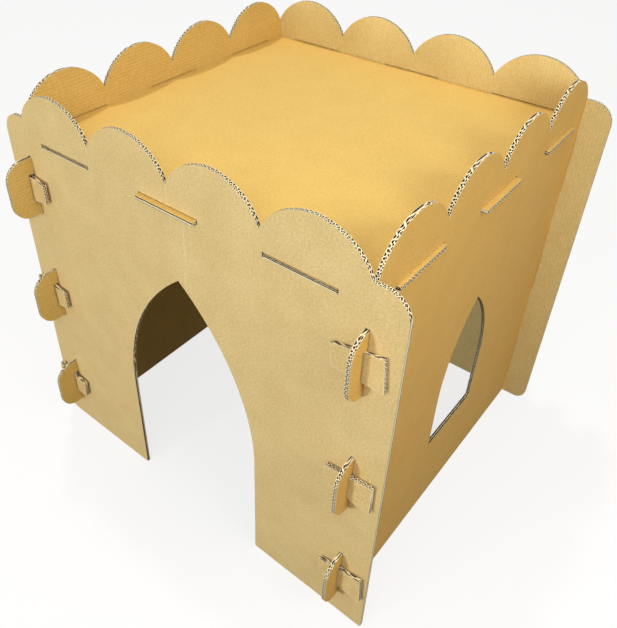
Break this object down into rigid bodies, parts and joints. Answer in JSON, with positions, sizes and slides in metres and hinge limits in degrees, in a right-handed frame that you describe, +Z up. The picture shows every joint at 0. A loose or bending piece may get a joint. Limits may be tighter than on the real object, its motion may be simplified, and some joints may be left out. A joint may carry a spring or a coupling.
{
  "type": "cardboard play castle",
  "caption": "Slot-together play castle of corrugated cardboard: arched door, side window, flat roof inside scalloped battlements, walls held by tabs and wedge keys.",
  "frame": {"origin": "middle of the footprint, on the floor that the castle stands on", "axes": "+Z up; -Y is the side with the door; +X is to the right of someone facing the door, the side with the window"},
  "size_m": [0.824, 0.822, 0.811],
  "materials": {
    "kraft_panel": "uncoated kraft liner, matte",
    "kraft_wall": "uncoated kraft liner, matte",
    "kraft_roof": "uncoated kraft liner, matte",
    "kraft_key": "uncoated kraft liner, matte"
  },
  "bodies": {
    "root": {"front_panel": "kraft_panel", "back_panel": "kraft_panel", "left_wall": "kraft_wall", "right_wall": "kraft_wall", "roof_panel": "kraft_roof", "key_front_left_bottom": "kraft_key", "key_front_left_middle": "kraft_key", "key_front_left_top": "kraft_key", "key_front_right_bottom": "kraft_key", "key_front_right_middle": "kraft_key", "key_front_right_top": "kraft_key", "key_back_left_bottom": "kraft_key", "key_back_left_middle": "kraft_key", "key_back_left_top": "kraft_key", "key_back_right_bottom": "kraft_key", "key_back_right_middle": "kraft_key", "key_back_right_top": "kraft_key"}
  },
  "joints": []
}
